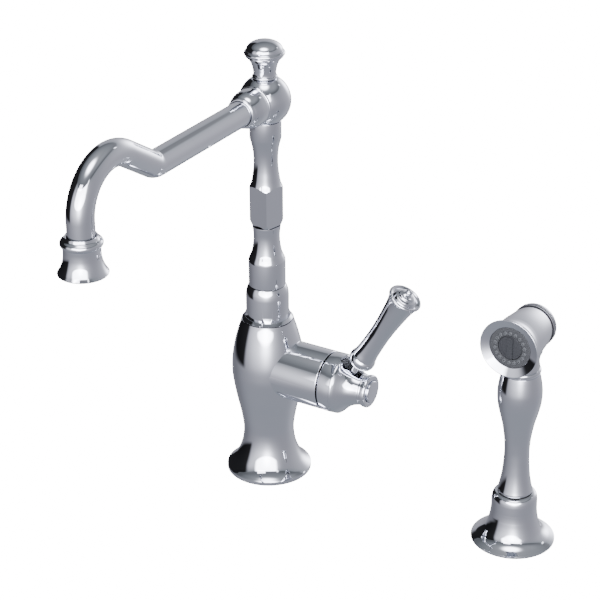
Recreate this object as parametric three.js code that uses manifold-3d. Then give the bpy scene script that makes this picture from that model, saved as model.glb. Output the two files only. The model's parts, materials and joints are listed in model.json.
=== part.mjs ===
import * as THREE from 'three';
import { mergeVertices } from 'three/addons/utils/BufferGeometryUtils.js';
import Module from 'manifold-3d';

const wasm = await Module();
wasm.setup();

// Side spray kitchen faucet. Millimetres, +Z up. The deck plane is z = 0 and the
// column stands on the origin. The spout points to -Y, the handle barrel to +X.

// Driving dimensions
const GAP = 0.3;
const ROUND = 18;
const MEDIUM = 14;
const SMALL = 10;

const FLANGE_R = 29.85;
const VASE_TOP = 118.6;
const SHANK_R = 15.9;
const SHANK_END = -60;
const DECK_T = 35;

const BARREL_Z = 82.6;
const BARREL_R = 20.8;
const BARREL_END = 49.8;
const CARTRIDGE_R = 17.2;
const STEM_PIVOT_X = 38;

const COLLAR_TOP = 144.4;
const COLUMN_SPLIT = 188.6;
const COLUMN_TOP = 264.1;
const FLAT_APOTHEM = 8;
const FLAT_TOP = 218.2;
const FLAT_CUTTER_R = 14;

const BALL_Z = 278.1;
const BALL_R = 17.3;
const TUBE_R = 8.53;
const TUBE_BORE = 7.3;
const REACH = 202.75;
const RISE_DEG = 32;
const GOOSE_R = 30.5;
const KNEE_R = 11;
const NECK_END = 246.6;

const LEVER_X = 61.5;
const LEVER_DEG = 30.3;

const SPRAY_X = 190;
const SPRAY_Y = 4;
const HOLDER_R = 28.1;
const HEAD_Z = 152.3;
const JETS = 18;
const JET_CIRCLE = 10.3;

const rad = (deg) => (deg * Math.PI) / 180;

// Outline pieces: radius first, height along the axis second
const at = (...pairs) => pairs.map(([r, h]) => new THREE.Vector2(r, h));
const curve = (n, ...pairs) => new THREE.SplineCurve(at(...pairs)).getPoints(n);
const arc = (n, r, h, radius, from, to) =>
  new THREE.EllipseCurve(r, h, radius, radius, rad(from), rad(to), to < from).getPoints(n);

// Frames that take a solid turned about +Y to its place on the faucet
const upright = new THREE.Matrix4().makeRotationX(Math.PI / 2);
const place = (x, y, z, turn = new THREE.Matrix4()) =>
  new THREE.Matrix4().makeTranslation(x, y, z).multiply(turn).multiply(upright);
const ON_COLUMN = place(0, 0, 0);
const ON_BALL = place(0, 0, BALL_Z, new THREE.Matrix4().makeRotationX(Math.PI / 2));
const ON_NECK = place(0, -REACH, 0);
const ON_BARREL = place(0, 0, BARREL_Z, new THREE.Matrix4().makeRotationY(Math.PI / 2));
const ON_LEVER = place(LEVER_X, 0, BARREL_Z, new THREE.Matrix4().makeRotationY(rad(LEVER_DEG)));
const ON_SPRAY = place(SPRAY_X, SPRAY_Y, 0);
const ON_HEAD = place(SPRAY_X, SPRAY_Y, HEAD_Z, new THREE.Matrix4().makeRotationX(Math.PI / 2));

function solid(geometry) {
  const bare = geometry.clone();
  bare.deleteAttribute('normal');
  bare.deleteAttribute('uv');
  const welded = mergeVertices(bare, 1e-4);
  const index = welded.index.array;
  const faces = [];
  for (let i = 0; i < index.length; i += 3) {
    const [a, b, c] = [index[i], index[i + 1], index[i + 2]];
    if (a !== b && b !== c && c !== a) {
      faces.push(a, b, c);
    }
  }
  const body = new wasm.Manifold(
    new wasm.Mesh({
      numProp: 3,
      vertProperties: new Float32Array(welded.attributes.position.array),
      triVerts: new Uint32Array(faces),
    }),
  );
  return body;
}

// A body turned from an outline that starts and ends on the axis or closes on itself
function turned(frame, segments, ...pieces) {
  const outline = pieces.flat();
  if (THREE.ShapeUtils.isClockWise(outline)) {
    outline.reverse();
  }
  const lathe = new THREE.LatheGeometry(outline, segments);
  lathe.applyMatrix4(frame);
  return solid(lathe);
}

function disc(frame, segments, radius, low, high) {
  return turned(frame, segments, at([0, low], [radius, low], [radius, high], [0, high]));
}

// A hole's flats stay outside its radius, so that a round pin of the same count of sides fits
function drill(frame, segments, radius, low, high) {
  return disc(frame, segments, radius / Math.cos(Math.PI / segments), low, high);
}

function ring(frame, segments, bore, outer, low, high) {
  return disc(frame, segments, outer, low, high).subtract(drill(frame, segments, bore, low - 1, high + 1));
}

function block(frame, sx, sy, sz, x, y, z) {
  const box = new THREE.BoxGeometry(sx, sy, sz);
  box.translate(x, y, z);
  box.applyMatrix4(frame);
  return solid(box);
}

// An upright prism with six sides, its flats facing along Y
function hexPrism(frame, flats, low, high) {
  const geometry = new THREE.CylinderGeometry(flats / Math.sqrt(3), flats / Math.sqrt(3), high - low, 6);
  geometry.rotateY(Math.PI / 6);
  geometry.translate(0, (low + high) / 2, 0);
  geometry.applyMatrix4(frame);
  return solid(geometry);
}

function cut(body, ...tools) {
  return tools.reduce((rest, tool) => rest.subtract(tool), body);
}

function bored(body, frame, radius, low, high) {
  return cut(body, drill(frame, SMALL, radius, low, high));
}

function join(body, ...others) {
  return others.reduce((sum, other) => sum.add(other), body);
}

const group = new THREE.Group();
group.name = 'side_spray_faucet';

const LOOKS = {
  chrome: { color: 0xc3c6cf, roughness: 0.06, metalness: 1 },
  brass: { color: 0xb08d4f, roughness: 0.3, metalness: 1 },
  steel: { color: 0xa9abae, roughness: 0.35, metalness: 1 },
  copper: { color: 0xb87655, roughness: 0.3, metalness: 1 },
  rubber: { color: 0x1d1d1f, roughness: 0.8, metalness: 0 },
  grey: { color: 0x7a7c7f, roughness: 0.5, metalness: 0 },
  dark: { color: 0x525458, roughness: 0.5, metalness: 0 },
  nylon: { color: 0xe6e4dc, roughness: 0.5, metalness: 0 },
};

function add(name, look, body) {
  const mesh = body.getMesh();
  const geometry = new THREE.BufferGeometry();
  geometry.setAttribute('position', new THREE.BufferAttribute(mesh.vertProperties, 3));
  geometry.setIndex(new THREE.BufferAttribute(mesh.triVerts, 1));
  geometry.computeVertexNormals();
  const part = new THREE.Mesh(geometry, new THREE.MeshStandardMaterial(LOOKS[look]));
  part.name = name;
  group.add(part);
}

// Vase-shaped body with the side barrel, one casting
function bodyShell() {
  const vase = turned(
    ON_COLUMN, 24,
    at([0, 18], [SHANK_R + 0.4, 18], [SHANK_R + 0.4, 0], [19, 0], [19, 1.6], [26.5, 1.6], [26.5, 0]),
    at([FLANGE_R, 0], [FLANGE_R, 2.2]),
    curve(6, [29.2, 3.1], [27.8, 4.2], [24.3, 8.4], [20.4, 16], [18.4, 24], [17.8, 33]),
    curve(
      7,
      [18.2, 37], [20.2, 49], [22.9, 61], [24.7, 71], [25.25, 81], [24.7, 91], [22.6, 102.5], [20.0, 111.5],
    ),
    at([17.6, VASE_TOP], [12.6, VASE_TOP], [12.6, 103.5], [0, 103.5]),
  );
  const barrel = turned(
    ON_BARREL, ROUND,
    at([0, 4], [BARREL_R, 4], [BARREL_R, BARREL_END], [0, BARREL_END]),
  );
  const bore = drill(ON_BARREL, MEDIUM, CARTRIDGE_R + 0.4, 16, BARREL_END + 1);
  const riser = drill(ON_COLUMN, SMALL, 4.2, BARREL_Z - 4, 104);
  const passage = drill(ON_BARREL, SMALL, 3, 0, 17);
  const ports = portCentres().map(([x, y]) => drill(place(x, y, 0), 10, 4.3, 17, 26));
  return cut(join(vase, barrel), bore, riser, passage, ...ports);
}

function portCentres() {
  return [90, 210, 330].map((deg) => [6.3 * Math.cos(rad(deg)), 6.3 * Math.sin(rad(deg))]);
}

function threadedShank(frame, outer, bore, top, end) {
  return turned(
    frame, MEDIUM,
    at([bore, top], [bore, end], [outer - 1, end], [outer, end + 1.2], [outer, top], [bore, top]),
  );
}

function lockNut(frame, flats, bore, low, high) {
  const nut = turned(
    frame, 24,
    at([0, low], [flats / 2, low], [flats * 0.58, low + 2.5], [flats * 0.58, high], [0, high]),
  );
  const hexagon = nut.intersect(hexPrism(frame, flats, low - 1, high + 1));
  return cut(hexagon, drill(frame, 24, bore, low - 1, high + 1));
}

// Domed collar that clamps the column on the vase
function columnCollar() {
  const collar = turned(
    ON_COLUMN, ROUND,
    at([0, 104], [12.3, 104], [12.3, VASE_TOP + GAP], [14.8, VASE_TOP + GAP], [14.8, 136]),
    curve(3, [14.75, 138], [14.3, 141.2], [13.4, 143.6], [12.9, COLLAR_TOP]),
    at([0, COLLAR_TOP]),
  );
  return bored(collar, ON_COLUMN, 6.5, 103, 146);
}

function columnLower() {
  const lower = turned(
    ON_COLUMN, ROUND,
    at([0, COLLAR_TOP + GAP], [12.7, COLLAR_TOP + GAP], [12.7, 162.3]),
    curve(6, [12.5, 163.2], [11.0, 167], [9.75, 172.2], [9.1, 177], [9.0, 181.5], [9.4, 186]),
    at([9.75, COLUMN_SPLIT], [0, COLUMN_SPLIT]),
  );
  return bored(lower, ON_COLUMN, 6.5, COLLAR_TOP, 190);
}

// Upper column: four wrench flats with round milled tops, a corner turned to the front
function columnUpper() {
  const round = turned(
    ON_COLUMN, ROUND,
    at([0, COLUMN_SPLIT + GAP], [9.8, COLUMN_SPLIT + GAP], [11.3, 192.4], [11.3, 215.6]),
    curve(8, [11.2, 216.4], [9.75, 221], [8.7, 227], [8.2, 234.5], [8.5, 242], [9.3, 246.8], [10.3, 250.6]),
    at([10.7, 253.4], [10.7, COLUMN_TOP], [0, COLUMN_TOP]),
  );
  const cutters = [-13, 77, 167, 257].map((deg) => {
    const turn = new THREE.Matrix4().makeRotationZ(rad(deg));
    turn.multiply(new THREE.Matrix4().makeRotationX(Math.PI / 2));
    const frame = place(0, 0, FLAT_TOP - FLAT_CUTTER_R, turn);
    return join(
      disc(frame, ROUND, FLAT_CUTTER_R, FLAT_APOTHEM, 16),
      block(frame, 2 * FLAT_CUTTER_R, 16 - FLAT_APOTHEM, 20, 0, (16 + FLAT_APOTHEM) / 2, 10),
    );
  });
  return bored(bored(cut(round, ...cutters), ON_COLUMN, 6.5, 180, 260), ON_COLUMN, 7.7, 257.7, 270);
}

function swivelSpigot() {
  return turned(
    ON_COLUMN, SMALL,
    at([6.1, 258], [7.4, 258], [7.4, 269], [6.6, 269], [6.6, 271], [7.4, 271], [7.4, 275.2]),
    at([6.1, 275.2], [6.1, 258]),
  );
}

function sealRing(height) {
  return turned(ON_COLUMN, SMALL, arc(5, 7.35, height, 0.45, 0, 360));
}

// Ball joint of the spout, bored for the spigot, the arm and the finial's stud
function ballHub() {
  const low = 264.4 - BALL_Z;
  const high = 293 - BALL_Z;
  const angle = (h) => (Math.asin(h / BALL_R) * 180) / Math.PI;
  const ball = turned(
    place(0, 0, BALL_Z), ROUND,
    at([0, low]),
    arc(9, 0, 0, BALL_R, angle(low), angle(high)),
    at([0, high]),
  );
  return cut(
    ball,
    drill(ON_COLUMN, SMALL, 8.0, 260, 276.5),
    drill(ON_COLUMN, 8, 6, 276, 282),
    drill(ON_BALL, MEDIUM, TUBE_R + GAP, 9, 20),
    drill(ON_BALL, 8, 6, 0, 10),
    drill(ON_COLUMN, 10, 4.5, 285.5, 300),
  );
}

function spoutCollar() {
  const collar = turned(
    ON_BALL, ROUND,
    at([0, 15.8], [8, 15.8], [12.3, 12.7]),
    curve(5, [12.75, 13.8], [13.0, 17.5], [12.5, 22], [11.4, 26], [10.2, 28.4]),
    arc(3, 9.45, 29.6, 0.95, -40, 90),
    at([0, 30.55]),
  );
  return bored(collar, ON_BALL, TUBE_R + GAP + 0.35, 12, 31);
}

// Centre line of the spout in the plane x = 0: stations with position and heading
function spoutStations() {
  const rise = rad(RISE_DEG);
  const bendZ = BALL_Z;
  const neckY = -REACH;
  const gooseY = neckY + GOOSE_R;
  const crestDrop = 30.5;
  const gooseZ = 300 - crestDrop;
  const tangentY = gooseY + GOOSE_R * Math.sin(rise);
  const tangentZ = gooseZ + GOOSE_R * Math.cos(rise);
  const kneeY = tangentY + (tangentZ - bendZ) / Math.tan(rise);
  const setback = KNEE_R * Math.tan(rise / 2);
  const stations = [[-9.3, bendZ, 0]];
  for (let i = 0; i <= 3; i += 1) {
    const t = (rise * i) / 3;
    stations.push([
      kneeY + setback - KNEE_R * Math.sin(t),
      bendZ + KNEE_R * (1 - Math.cos(t)),
      t,
    ]);
  }
  for (let i = 0; i <= 12; i += 1) {
    const t = rise - ((rise + Math.PI / 2) * i) / 12;
    stations.push([gooseY + GOOSE_R * Math.sin(t), gooseZ + GOOSE_R * Math.cos(t), t]);
  }
  stations.push([neckY, NECK_END, -Math.PI / 2]);
  return stations;
}

function sweep(stations, radius, sides) {
  const points = [];
  const faces = [];
  for (const [y, z, heading] of stations) {
    for (let k = 0; k < sides; k += 1) {
      const a = (2 * Math.PI * k) / sides;
      const up = radius * Math.cos(a);
      points.push(radius * Math.sin(a), y + up * Math.sin(heading), z + up * Math.cos(heading));
    }
  }
  const first = points.length / 3;
  const last = first + 1;
  const [y0, z0] = stations[0];
  const [y1, z1] = stations[stations.length - 1];
  points.push(0, y0, z0, 0, y1, z1);
  for (let s = 0; s + 1 < stations.length; s += 1) {
    for (let k = 0; k < sides; k += 1) {
      const n = (k + 1) % sides;
      const [a, b, c, d] = [s * sides + k, s * sides + n, (s + 1) * sides + k, (s + 1) * sides + n];
      faces.push(a, c, b, b, c, d);
    }
  }
  const end = (stations.length - 1) * sides;
  for (let k = 0; k < sides; k += 1) {
    const n = (k + 1) % sides;
    faces.push(first, k, n, last, end + n, end + k);
  }
  const geometry = new THREE.BufferGeometry();
  geometry.setAttribute('position', new THREE.Float32BufferAttribute(points, 3));
  geometry.setIndex(faces);
  return solid(geometry);
}

function stretched(stations, extra) {
  const long = stations.map((s) => [...s]);
  long[0][0] += extra;
  long[long.length - 1][1] -= extra;
  return long;
}

function spoutTube() {
  const stations = spoutStations();
  return cut(sweep(stations, TUBE_R, ROUND), sweep(stretched(stations, 1), TUBE_BORE, 8));
}

// Bell nozzle with a bead ring at its neck and the aerator's thread inside
function spoutNozzle() {
  const bell = turned(
    ON_NECK, ROUND,
    at([0, 260.6], [9.9, 260.6], [10.5, 258.9]),
    arc(4, 10.5, 256.2, 2.45, 80, -75),
    curve(5, [11.35, 251.5], [11.5, 247.5], [12.1, 243.9], [13.3, 240.4], [15.0, 237.6]),
    at([15.4, 236.9], [14.4, 236.4], [10.5, 241], [10.5, 246.3], [0, 246.3]),
  );
  return bored(bell, ON_NECK, TUBE_R + GAP + 0.35, 246, 262);
}

function aeratorHousing() {
  return turned(
    ON_NECK, MEDIUM,
    at([8.4, 246], [8.4, 238.4], [10.2, 238.4], [10.2, 246], [8.4, 246]),
  );
}

function aeratorInsert() {
  const grooves = [2.2, 4.3, 6.4].map((r) => ring(ON_NECK, SMALL, r - 0.45, r + 0.45, 238, 241.2));
  return cut(disc(ON_NECK, 16, 8.1, 239.8, 245), ...grooves);
}

function finial() {
  return turned(
    ON_COLUMN, MEDIUM,
    at([0, 286], [4.1, 286], [4.1, 293.3], [7.9, 293.3]),
    arc(3, 7.6, 294.5, 1.1, -50, 70),
    curve(4, [7.55, 296.2], [7.9, 300.6], [9.4, 304.9], [12.2, 308.2]),
    curve(2, [13.0, 309.2], [13.45, 310.4], [12.3, 312.4]),
    curve(4, [12.1, 313], [11.2, 315], [8.6, 317.2], [4.6, 318.7], [0, 319.2]),
  );
}

// Turning parts of the handle
function stemCarrier() {
  const body = turned(
    ON_BARREL, MEDIUM,
    at([0, 44.5], [12.2, 44.5], [12.2, 52.3], [17.4, 52.3], [17.4, 58.4], [0, 58.4]),
  );
  return cut(body, block(place(0, 0, BARREL_Z), 20, 23.5, 9.4, 52, 7, 0));
}

function handleRing() {
  return turned(
    ON_BARREL, ROUND,
    at([17.8, 50.6], [20.3, 50.6]),
    curve(2, [20.7, 52.0], [20.85, 56], [20.6, 59.9]),
    at([17.8, 59.9], [17.8, 50.6]),
  );
}

// Bell of the handle, hollow, with the slot that the lever swings in
function handleBell() {
  const bell = turned(
    ON_BARREL, ROUND,
    at([18.0, 60.2], [20.3, 60.2]),
    curve(7, [20.3, 60.8], [18.4, 63.3], [16.1, 65.6], [14.0, 68.2], [12.4, 71], [11.3, 74], [10.6, 76.6]),
    at([8.6, 76.6]),
    curve(5, [9.3, 74], [10.4, 71], [12.0, 68.2], [14.1, 65.6], [16.2, 63.3], [18.0, 60.8]),
    at([18.0, 60.2]),
  );
  return cut(bell, block(place(0, 0, BARREL_Z), 17, 30, 9.4, 66.5, 17, 0));
}

function endRing() {
  return turned(
    ON_BARREL, MEDIUM,
    at([0, 73.6], [8.2, 73.6], [8.2, 76.9], [11.0, 76.9], [10.5, 78.1]),
    at([11.45, 79.2], [11.45, 81.6], [11.1, 82.2], [8.2, 82.2], [8.2, 81], [0, 81]),
  );
}

function endButton() {
  return turned(
    ON_BARREL, 16,
    at([0, 81.3], [7.9, 81.3], [7.9, 83.3], [0, 83.7]),
  );
}

// Tilting parts of the handle
function cartridgeStem() {
  return turned(
    ON_BARREL, SMALL,
    at([0, 32.4]),
    arc(6, 0, STEM_PIVOT_X, 5.6, -90, 52),
    at([3.4, 42.5], [3.4, 66.3], [0, 66.3]),
  );
}

function leverHub() {
  const stemBore = drill(ON_BARREL, SMALL, 3.7, 55, 66.6);
  const eye = block(place(0, 0, BARREL_Z), 7, 11, 8, 64.1, 0, 0);
  const neck = block(ON_LEVER, 4.4, 17.5, 6.4, 0.5, 13.25, 0);
  const foot = block(ON_LEVER, 5.9, 5, 8, 0.35, 5.5, 0);
  return cut(join(eye, neck, foot), stemBore, drill(ON_BARREL, 12, 1.8, 60, 70));
}

function hubScrew() {
  return turned(
    ON_BARREL, 12,
    at([0, 66.5], [1.5, 66.5], [1.5, 67.9], [2.9, 67.9], [2.9, 69.6], [2.4, 70.1], [0, 70.1]),
  );
}

function leverBase() {
  return turned(
    ON_LEVER, MEDIUM,
    at([0, 22.3], [6.6, 22.3]),
    curve(4, [8.4, 23.6], [9.2, 26], [9.15, 28.2], [8.35, 30.1]),
    at([0, 30.1]),
  );
}

function leverGrip() {
  return turned(
    ON_LEVER, MEDIUM,
    at([0, 30.4], [8.2, 30.4]),
    curve(7, [8.1, 32], [7.6, 36.5], [7.2, 50], [7.6, 63], [8.35, 72.5], [9.5, 81.5], [10.7, 87]),
    at([11.6, 88.1], [11.5, 89.6], [10.6, 90.4], [8.7, 89.4], [8.7, 86.6], [0, 86.6]),
  );
}

// Stepped rosette with a ball, seated in the cup of the lever
function leverRosette() {
  return turned(
    ON_LEVER, MEDIUM,
    at([0, 86.9], [8.4, 86.9], [8.4, 88.2], [7.3, 89.4], [7.2, 90.6], [5.4, 91.4], [5.2, 92.3]),
    at([3.0, 92.9], [2.2, 93.3]),
    arc(4, 0, 94.6, 2.3, -25, 90),
  );
}

// Holder of the side spray
function sprayHolder() {
  const flange = turned(
    ON_SPRAY, ROUND,
    at([0, 14], [12.4, 14], [12.4, 0], [17, 0], [17, 1.6], [24.4, 1.6], [24.4, 0], [HOLDER_R, 0]),
    curve(6, [HOLDER_R, 1.1], [26.9, 1.9], [23.9, 3.1], [19.3, 7.3], [16.7, 14.6], [15.6, 20]),
    at([15.3, 24], [15.3, 31]),
    curve(2, [15.1, 32.6], [14.6, 34.4], [13.4, 35.8]),
    at([0, 35.9]),
  );
  return bored(bored(flange, ON_SPRAY, 9.8, 13, 17), ON_SPRAY, 11.5, 16, 37);
}

function holderGuide() {
  return turned(
    ON_SPRAY, MEDIUM,
    at([9.4, 16.3], [11.1, 16.3], [11.1, 36.3], [10.6, 36.9], [9.4, 36.4], [9.4, 16.3]),
  );
}

function hoseCoupling() {
  return turned(
    ON_SPRAY, SMALL,
    at([0, 3], [7.6, 3], [8.5, 4], [8.5, 20], [7.8, 21.4], [4.4, 21.4], [4.4, 34], [2.4, 34]),
    at([2.4, 26], [0, 26]),
  );
}

function hoseFerrule() {
  return turned(
    ON_SPRAY, SMALL,
    at([4, -14], [6.6, -14], [7.0, -13], [7.0, 2.7], [4, 2.7], [4, -14]),
  );
}

// Handset of the side spray
function sprayHandle() {
  const shaft = turned(
    ON_SPRAY, ROUND,
    at([0, 21.9], [8.6, 21.9], [8.6, 37.4], [11.7, 37.4]),
    curve(
      11,
      [11.8, 38.2], [10.5, 43.3], [9.4, 50.3], [8.65, 58.5], [8.4, 67], [8.8, 75.5], [10.0, 84.8],
      [11.9, 93.5], [13.7, 100.6], [14.7, 108], [14.75, 113.5], [14.1, 118.8], [12.9, 124.2],
    ),
    at([12.4, 125.9], [8.6, 125.9], [8.6, 136], [0, 136]),
  );
  return cut(
    shaft,
    drill(ON_SPRAY, SMALL, 5, 20, 60),
    drill(ON_SPRAY, 8, 3, 59, 137),
  );
}

function neckRing() {
  return turned(
    ON_SPRAY, MEDIUM,
    at([9.0, 126.2], [12.2, 126.2]),
    arc(4, 11.1, 128.4, 2.1, -60, 60),
    at([12.0, 130.6], [9.0, 130.6], [9.0, 126.2]),
  );
}

// Spray head: tapered barrel with a trumpet mouth, blended to its neck
function sprayHead() {
  const barrel = turned(
    ON_HEAD, ROUND,
    at([0, -14], [14.2, -14], [14.5, -13.6], [16.2, 3], [16.3, 10]),
    curve(4, [16.5, 13], [17.3, 16], [18.6, 19], [19.8, 21]),
    at([20, 21.4], [19.6, 21.7], [14.6, 19.8], [0, 19.8]),
  );
  const neck = turned(
    ON_SPRAY, MEDIUM,
    at([0, 130.9], [12.3, 130.9]),
    curve(3, [12.1, 132], [11.7, 135], [11.8, 138], [12.8, 141.5]),
    at([12.8, 150], [0, 150]),
  );
  return cut(
    join(barrel, neck),
    drill(ON_SPRAY, SMALL, 9, 130, 137),
    drill(ON_HEAD, MEDIUM, 9.9, -15, -5.9),
    drill(ON_HEAD, MEDIUM, 14.3, 11, 21),
    drill(ON_HEAD, SMALL, 3.2, -7, 12),
  );
}

// Face plate: eighteen raised jets on one circle, each with its hole
function facePlate() {
  const plate = turned(
    ON_HEAD, MEDIUM,
    at([0, 11.3], [14.1, 11.3], [14.1, 19.6], [8.5, 19.6], [8.5, 16], [0, 16]),
  );
  const bumps = [];
  const holes = [];
  for (let i = 0; i < JETS; i += 1) {
    const a = (2 * Math.PI * (i + 0.5)) / JETS;
    const x = SPRAY_X + JET_CIRCLE * Math.cos(a);
    const z = HEAD_Z + JET_CIRCLE * Math.sin(a);
    const frame = place(x, SPRAY_Y, z, new THREE.Matrix4().makeRotationX(Math.PI / 2));
    bumps.push(turned(frame, 6, at([0, 19], [1.25, 19], [1.05, 20.1], [0, 20.1])));
    holes.push(drill(frame, 4, 0.45, 19, 21));
  }
  return cut(join(plate, ...bumps), ...holes);
}

function faceInsert() {
  const plate = disc(ON_HEAD, MEDIUM, 8.1, 16.3, 19.4);
  return join(plate, block(ON_HEAD, 4, 1.6, 14.6, 0, 19.4, 0));
}

function rearRing() {
  return turned(
    ON_HEAD, MEDIUM,
    at([9.9, -14.3], [13.8, -14.3], [14.2, -14.9], [14.2, -18.8]),
    curve(3, [14.1, -19.6], [13.3, -21.1], [11.8, -21.9]),
    at([9.9, -22.1], [9.9, -14.3]),
  );
}

function sprayButton() {
  return turned(
    ON_HEAD, 20,
    at([0, -12], [9.5, -12], [9.5, -22.4]),
    curve(3, [9.0, -23], [6.5, -24.1], [3.4, -24.7], [0, -24.9]),
  );
}

function valvePlunger() {
  return turned(
    ON_HEAD, 12,
    at([0, -11.7], [5, -11.7], [5, -10.1], [2.7, -10.1], [2.7, 4], [2.2, 4.6], [0, 4.6]),
  );
}

add('body_shell', 'chrome', bodyShell());
add('base_gasket', 'rubber', ring(ON_COLUMN, MEDIUM, 19.3, 26.2, 0, 1.3));
add('mounting_shank', 'brass', threadedShank(ON_COLUMN, SHANK_R, 11.5, 17.7, SHANK_END));
add('deck_washer_rubber', 'rubber', ring(ON_COLUMN, MEDIUM, 16.3, 27, -DECK_T - 3, -DECK_T));
add('deck_washer_steel', 'steel', ring(ON_COLUMN, MEDIUM, 16.3, 27, -DECK_T - 4.8, -DECK_T - 3.3));
add('shank_nut', 'brass', lockNut(ON_COLUMN, 46, 16.3, -DECK_T - 17, -DECK_T - 5.1));
const STUBS = ['hot_inlet', 'cold_inlet', 'spray_outlet'];
portCentres().forEach(([x, y], i) => {
  add(STUBS[i], 'copper', ring(place(x, y, 0), 10, 2.7, 4, SHANK_END - 6, 25.7));
});
add('cartridge_body', 'nylon', cut(
  disc(ON_BARREL, MEDIUM, CARTRIDGE_R, 16.3, 44.2),
  drill(ON_BARREL, 16, 6.5, 31.5, 46),
));
add('cartridge_nut', 'brass', ring(ON_BARREL, MEDIUM, 12.6, CARTRIDGE_R, 44.6, 51.9));
add('column_collar', 'chrome', columnCollar());
add('column_lower', 'chrome', columnLower());
add('column_upper', 'chrome', columnUpper());
add('column_tube', 'brass', ring(ON_COLUMN, SMALL, 4.2, 5.8, 103.8, 262));
add('swivel_spigot', 'brass', swivelSpigot());
add('seal_ring', 'rubber', sealRing(270));
add('ball_hub', 'chrome', ballHub());
add('spout_collar', 'chrome', spoutCollar());
add('spout_tube', 'chrome', spoutTube());
add('spout_nozzle', 'chrome', spoutNozzle());
add('aerator_housing', 'chrome', aeratorHousing());
add('aerator_insert', 'dark', aeratorInsert());
add('finial', 'chrome', finial());
add('stem_carrier', 'nylon', stemCarrier());
add('handle_ring', 'chrome', handleRing());
add('handle_bell', 'chrome', handleBell());
add('end_ring', 'chrome', endRing());
add('end_button', 'chrome', endButton());
add('cartridge_stem', 'steel', cartridgeStem());
add('lever_hub', 'chrome', leverHub());
add('hub_screw', 'steel', hubScrew());
add('lever_base', 'chrome', leverBase());
add('lever_grip', 'chrome', leverGrip());
add('lever_rosette', 'chrome', leverRosette());
add('spray_holder', 'chrome', sprayHolder());
add('holder_gasket', 'rubber', ring(ON_SPRAY, MEDIUM, 17.3, 23.9, 0, 1.3));
add('holder_shank', 'brass', threadedShank(ON_SPRAY, 12, 9.3, 13.7, -52));
add('holder_guide', 'rubber', holderGuide());
add('holder_washer', 'rubber', ring(ON_SPRAY, MEDIUM, 12.4, 22, -DECK_T - 3, -DECK_T));
add('holder_nut', 'brass', lockNut(ON_SPRAY, 34, 12.4, -DECK_T - 13, -DECK_T - 3.3));
add('hose_coupling', 'brass', hoseCoupling());
add('hose_ferrule', 'steel', hoseFerrule());
add('spray_handle', 'chrome', sprayHandle());
add('check_valve', 'nylon', disc(ON_SPRAY, SMALL, 4.5, 36, 52));
add('spray_neck_ring', 'chrome', neckRing());
add('spray_head', 'chrome', sprayHead());
add('spray_face_plate', 'grey', facePlate());
add('spray_face_insert', 'dark', faceInsert());
add('spray_rear_ring', 'chrome', rearRing());
add('spray_button', 'chrome', sprayButton());
add('valve_plunger', 'steel', valvePlunger());

export default group;
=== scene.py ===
import json
import math

import bpy
from mathutils import Matrix, Vector


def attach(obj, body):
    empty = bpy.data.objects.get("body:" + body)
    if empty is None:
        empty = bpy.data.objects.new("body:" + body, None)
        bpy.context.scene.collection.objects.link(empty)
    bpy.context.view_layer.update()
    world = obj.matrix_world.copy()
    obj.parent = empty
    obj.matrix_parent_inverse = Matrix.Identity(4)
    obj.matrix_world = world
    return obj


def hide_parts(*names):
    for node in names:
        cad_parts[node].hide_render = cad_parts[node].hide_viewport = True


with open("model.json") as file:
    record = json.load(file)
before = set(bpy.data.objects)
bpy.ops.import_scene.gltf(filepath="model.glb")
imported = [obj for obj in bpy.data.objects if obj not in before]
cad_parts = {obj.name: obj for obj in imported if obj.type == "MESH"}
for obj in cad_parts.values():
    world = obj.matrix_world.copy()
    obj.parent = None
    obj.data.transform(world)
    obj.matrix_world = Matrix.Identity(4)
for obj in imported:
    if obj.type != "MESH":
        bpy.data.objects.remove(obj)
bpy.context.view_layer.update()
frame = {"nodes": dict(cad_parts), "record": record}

# ---------------------------------------------------------------------------
# Body: a vase-shaped casting with the side barrel for the cartridge, polished
# and chrome plated. It stands on its flange and is clamped through the deck.
# ---------------------------------------------------------------------------
MM = 0.001
BARREL_Z = 82.6


def srgb(code):
    """Linear RGBA of a #rrggbb colour."""
    parts = [int(code[i : i + 2], 16) / 255 for i in (1, 3, 5)]
    return [c / 12.92 if c <= 0.04045 else ((c + 0.055) / 1.055) ** 2.4 for c in parts] + [1.0]


def add_node(tree, kind, links=None, **settings):
    """A node of that kind: settings are attributes or input values, links maps inputs to sockets."""
    item = tree.nodes.new(kind)
    for key, value in settings.items():
        if hasattr(item, key):
            setattr(item, key, value)
        else:
            item.inputs[key.replace("_", " ")].default_value = value
    for key, socket in (links or {}).items():
        tree.links.new(socket, item.inputs[key])
    return item


def through(points, steps=6):
    """Points of a smooth curve through the given (radius, height) points, which may lie at uneven steps."""
    pts = [points[0]] + list(points) + [points[-1]]
    out = []
    for p0, p1, p2, p3 in zip(pts, pts[1:], pts[2:], pts[3:]):
        d = [max(math.dist(a, b) ** 0.5, 1e-6) for a, b in ((p0, p1), (p1, p2), (p2, p3))]
        for i in range(steps):
            t = i / steps
            row = []
            for a, b, c, e in zip(p0, p1, p2, p3):
                start = end = (c - b) / d[1]
                if p0 != p1:
                    start = (b - a) / d[0] - (c - a) / (d[0] + d[1]) + (c - b) / d[1]
                if p2 != p3:
                    end = (c - b) / d[1] - (e - b) / (d[1] + d[2]) + (e - c) / d[2]
                start, end = start * d[1], end * d[1]
                square, cube = 3 * (c - b) - 2 * start - end, 2 * (b - c) + start + end
                row.append(b + start * t + square * t**2 + cube * t**3)
            out.append(tuple(row))
    return out + [points[-1]]


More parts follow.
